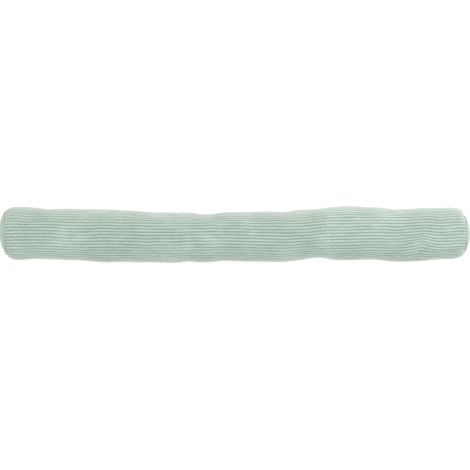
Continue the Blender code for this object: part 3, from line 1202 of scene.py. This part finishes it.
def panel_sheet(end):
    """The rows, their points as (outward, y, z) from the seam's middle, and how far out each point is."""
    half_width = end.half_width * MM + PANEL_RIM.outside * MM
    half_height = end.half_height * MM + PANEL_RIM.outside * MM
    rim_out = PANEL_RIM.inside * MM
    rows = panel_rows(half_height)
    heights = np.array([height for height, _ in rows])
    across = np.sin(np.pi / 2 * np.linspace(-1, 1, PANEL_COLUMNS + 1))
    reach = np.sqrt(np.maximum(1 - (heights / half_height) ** 2, 0.0))
    reach[[0, -1]] = PANEL_EDGE_ROW
    y = across[None, :] * reach[:, None] * half_width
    z = np.repeat(heights[:, None], PANEL_COLUMNS + 1, axis=1)
    edge = np.sqrt(1 - (y[0] / half_width) ** 2) * half_height
    z[0], z[-1] = -edge, edge
    out = np.minimum(np.hypot(y / half_width, z / half_height), 1.0)
    outward = rim_out + (end.dome * MM - rim_out) * (1 - out**end.fullness)
    return rows, np.stack([outward, y, z], axis=2), out


print("panel rows", [len(panel_sheet(end)[0]) for end in ENDS])

# %% [markdown]
# ## Roll in the panels' rims
#
# The sheet's rim turns in behind the piping by the tube's own first rows, on the other side of the seam. A
# flat face closes it there, out of sight. The ribs die away just short of the rim, where the seam presses
# the pile down.

# %% Make the end panels
PANEL_LIP = LIP[3::-1]
PANEL_RIBS_WITHIN = 0.93
PANEL_RIBS_FADE = 0.07


def rim_of(index):
    """The outer points of a sheet, in order."""
    return np.concatenate([index[0, :-1], index[:-1, -1], index[-1, :0:-1], index[:0:-1, 0]])


def rolled_in(end, sheet):
    """A sheet's points and faces, with the rings that turn its rim in and the flat face that closes it."""
    index = np.arange(sheet.shape[0] * sheet.shape[1]).reshape(sheet.shape[:2])
    corners = [index[:-1, :-1], index[:-1, 1:], index[1:, 1:], index[1:, :-1]]
    faces = np.stack(corners, axis=2).reshape(-1, 4).tolist()
    points = sheet.reshape(-1, 3)
    rim = rim_of(index)
    seam_size = np.array([end.half_width, end.half_height]) * MM
    rim_size = seam_size + PANEL_RIM.outside * MM
    loop = rim
    for lip in PANEL_LIP:
        ring = points[rim].copy()
        ring[:, 0] = lip.inside * MM
        ring[:, 1:] *= (seam_size + lip.outside * MM) / rim_size
        following = np.arange(len(points), len(points) + len(rim))
        points = np.concatenate([points, ring])
        joined = np.stack([np.roll(loop, -1), loop, following, np.roll(following, -1)], axis=1)
        faces += joined.tolist()
        loop = following
    return points, faces + [loop[::-1].tolist()]


def make_panel(end):
    rows, sheet, out = panel_sheet(end)
    points, faces = rolled_in(end, sheet)
    if end.side < 0:
        faces = [face[::-1] for face in faces]
    x = seam_x(end) + end.side * (points[:, 0] + end.turn * points[:, 1])
    placed = np.stack([x, end.across * MM + points[:, 1], SEAM_MIDDLE_HEIGHT + points[:, 2]], axis=1)
    piece = new_piece("panel_" + end.name, placed, faces)
    flat_cloth = np.stack([points[:, 1], points[:, 2] - 0.5 * RIB_PITCH], axis=1)
    keep_map(piece, flat_cloth[[i for face in faces for i in face]])
    keep_sheen_normal(piece)
    rib_place, rib_stand = np.zeros(len(points)), np.zeros(len(points))
    parts = np.array([math.nan if part is None else part for _, part in rows])
    sheet_place = np.repeat(parts, PANEL_COLUMNS + 1)
    rib_place[: sheet_place.size] = np.nan_to_num(sheet_place)
    fade = 1 - smooth_step((out.ravel() - PANEL_RIBS_WITHIN) / PANEL_RIBS_FADE)
    rib_stand[: sheet_place.size] = ~np.isnan(sheet_place) * fade
    panel_settings = {**rib_settings, "Seed": 11.0 + end.side, "Finish": panel_corduroy}
    raise_ribs(piece, rib_place, rib_stand, panel_settings)
    return piece


panels = [make_panel(end) for end in ENDS]
print("end panels", [len(panel.data.polygons) for panel in panels], "faces")

# %% [markdown]
# ## The piping
#
# Piping is a cord wrapped in cloth, laid in the seam before it is sewn. It is a ring swept along the seam's
# ellipse. A curve with a bevel would do, but its surface would be perfectly even, so this one is a grid of
# points whose radius swells and thins a little, as covered cord does between its stitches.

# %% Make the piping
PIPING_STEPS = 288
PIPING_SIDES = 20
COVER_RADIUS = PIPING_RADIUS * 0.97


class Swell(NamedTuple):
    """waves: how often it comes round the seam. share: how much of the radius. shift: where it starts."""

    waves: int
    share: float
    shift: float


SWELLS = (
    Swell(11, 0.035, 1.0),
    Swell(29, 0.025, 2.0),
)


def piping_grid(end):
    """Points in rings round the cord, all along the seam."""
    along = 2 * np.pi * np.arange(PIPING_STEPS) / PIPING_STEPS
    about = 2 * np.pi * np.arange(PIPING_SIDES) / PIPING_SIDES
    thickness = np.ones(PIPING_STEPS)
    for swell in SWELLS:
        thickness += swell.share * np.sin(swell.waves * along + swell.shift * end.side)
    radius = COVER_RADIUS * thickness
    half_width, half_height = end.half_width * MM, end.half_height * MM
    line = np.stack([np.cos(along) * half_width, np.sin(along) * half_height], axis=1)
    out = np.stack([np.cos(along) * half_height, np.sin(along) * half_width], axis=1)
    out /= np.linalg.norm(out, axis=1, keepdims=True)
    grid = np.zeros((PIPING_STEPS, PIPING_SIDES, 3))
    grid[:, :, 0] = radius[:, None] * np.sin(about)[None, :]
    outward = radius[:, None] * np.cos(about)[None, :]
    grid[:, :, 1:] = line[:, None, :] + out[:, None, :] * outward[:, :, None]
    grid[:, :, 0] += end.side * end.turn * grid[:, :, 1] + seam_x(end)
    grid[:, :, 1] += end.across * MM
    grid[:, :, 2] += SEAM_MIDDLE_HEIGHT
    return grid


def make_piping(end):
    index = np.arange(PIPING_STEPS * PIPING_SIDES).reshape(PIPING_STEPS, PIPING_SIDES)
    right, up = np.roll(index, -1, axis=1), np.roll(index, -1, axis=0)
    quads = np.stack([index, up, np.roll(up, -1, axis=1), right], axis=2).reshape(-1, 4)
    piece = new_piece("piping_cover_" + end.name, piping_grid(end), quads.tolist())
    seam_length = math.pi * (end.half_width * MM + end.half_height * MM)
    u = np.arange(PIPING_STEPS + 1) / PIPING_STEPS * seam_length
    v = np.arange(PIPING_SIDES + 1) / PIPING_SIDES * 2 * math.pi * PIPING_RADIUS
    flat_cloth = np.stack(np.meshgrid(u, v, indexing="ij"), axis=2)
    corners = [flat_cloth[:-1, :-1], flat_cloth[1:, :-1], flat_cloth[1:, 1:], flat_cloth[:-1, 1:]]
    keep_map(piece, np.stack(corners, axis=2).reshape(-1, 2))
    keep_sheen_normal(piece)
    piece.data.materials.append(piping_cloth)
    return piece


pipings = [make_piping(end) for end in ENDS]
print("piping", [len(piece.data.polygons) for piece in pipings], "faces")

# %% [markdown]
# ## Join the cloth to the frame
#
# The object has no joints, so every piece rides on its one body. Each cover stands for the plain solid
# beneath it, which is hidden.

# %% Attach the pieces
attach(tube, "root")
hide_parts("body")
for end, panel, piping in zip(ENDS, panels, pipings):
    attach(panel, "root")
    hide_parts("end_" + end.name)
    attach(piping, "root")
    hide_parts("piping_" + end.name)

# %% [markdown]
# ## Floor and light
#
# The tube lies on a plain white floor under a large soft light that stands to the right and a little beyond
# it, with white light from all round. The far side and the right end are then the palest, and the near side
# and the left end fall a little darker. The floor shines faintly, so that it stays white beside the tube.

# %% Set the floor and the lights
WHITE = (1.0, 1.0, 1.0, 1.0)
FLOOR_REACH = 4.0
FLOOR_BELOW = 0.3 * MM
FLOOR_COLOUR = (0.42, 0.42, 0.42, 1.0)
FLOOR_GLOW = 0.68
KEY_PLACE = (2.1, 0.9, 1.9)
KEY_AIM = (0.0, 0.0, 0.04)
KEY_SIZE = 1.6
KEY_POWER = 28.5
ROOM_LIGHT = 0.9


def white_floor():
    material = bpy.data.materials.new("white_floor")
    material.use_nodes = True
    shader = material.node_tree.nodes["Principled BSDF"]
    shader.inputs["Base Color"].default_value = FLOOR_COLOUR
    shader.inputs["Roughness"].default_value = 0.9
    shader.inputs["Specular IOR Level"].default_value = 0.1
    shader.inputs["Emission Color"].default_value = WHITE
    shader.inputs["Emission Strength"].default_value = FLOOR_GLOW
    corners = np.array([(-1, -1, 0), (1, -1, 0), (1, 1, 0), (-1, 1, 0)]) * FLOOR_REACH
    floor = new_piece("floor", corners, [(0, 1, 2, 3)])
    floor.data.materials.append(material)
    floor.location.z = -FLOOR_BELOW
    return floor


def key_light():
    light = bpy.data.lights.new("key", "AREA")
    light.shape = "SQUARE"
    light.size = KEY_SIZE
    light.energy = KEY_POWER
    lamp = bpy.data.objects.new("key", light)
    lamp.location = KEY_PLACE
    lamp.rotation_euler = (Vector(KEY_AIM) - Vector(KEY_PLACE)).to_track_quat("-Z", "Y").to_euler()
    bpy.context.scene.collection.objects.link(lamp)


def room_light():
    world = bpy.data.worlds.new("white_room")
    world.use_nodes = True
    world.node_tree.nodes["Background"].inputs["Color"].default_value = WHITE
    world.node_tree.nodes["Background"].inputs["Strength"].default_value = ROOM_LIGHT
    bpy.context.scene.world = world


floor = white_floor()
floor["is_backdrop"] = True
key_light()
room_light()
bpy.context.scene.view_settings.view_transform = "Standard"

# %% [markdown]
# ## The camera
#
# The tube is seen from straight above and fills the picture from side to side. A long lens from three
# metres up keeps it from bulging. The lens follows from the width that has to show at half the tube's
# height.

# %% Set the camera
CAMERA_ABOVE = 3.0
CAMERA_ACROSS = -0.0009
SHOWN_WIDTH = 0.8992
camera_data = bpy.data.cameras.new("camera")
camera_data.sensor_width = 36.0
camera_data.lens = CAMERA_ABOVE * camera_data.sensor_width / SHOWN_WIDTH
camera = bpy.data.objects.new("camera", camera_data)
camera.location = (0.0, CAMERA_ACROSS, SEAM_MIDDLE_HEIGHT + CAMERA_ABOVE)
bpy.context.scene.collection.objects.link(camera)
bpy.context.scene.camera = camera
print("lens", round(camera_data.lens, 1), "mm")

# %% [markdown]
# ## The cloth's size
#
# The box of the finished cloth is printed, like the frame's box at the start, so that the two can be
# compared.

# %% Print the cloth's box
cloth_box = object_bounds()
print("cloth from", in_mm(cloth_box[0]), "to", in_mm(cloth_box[1]), "mm")
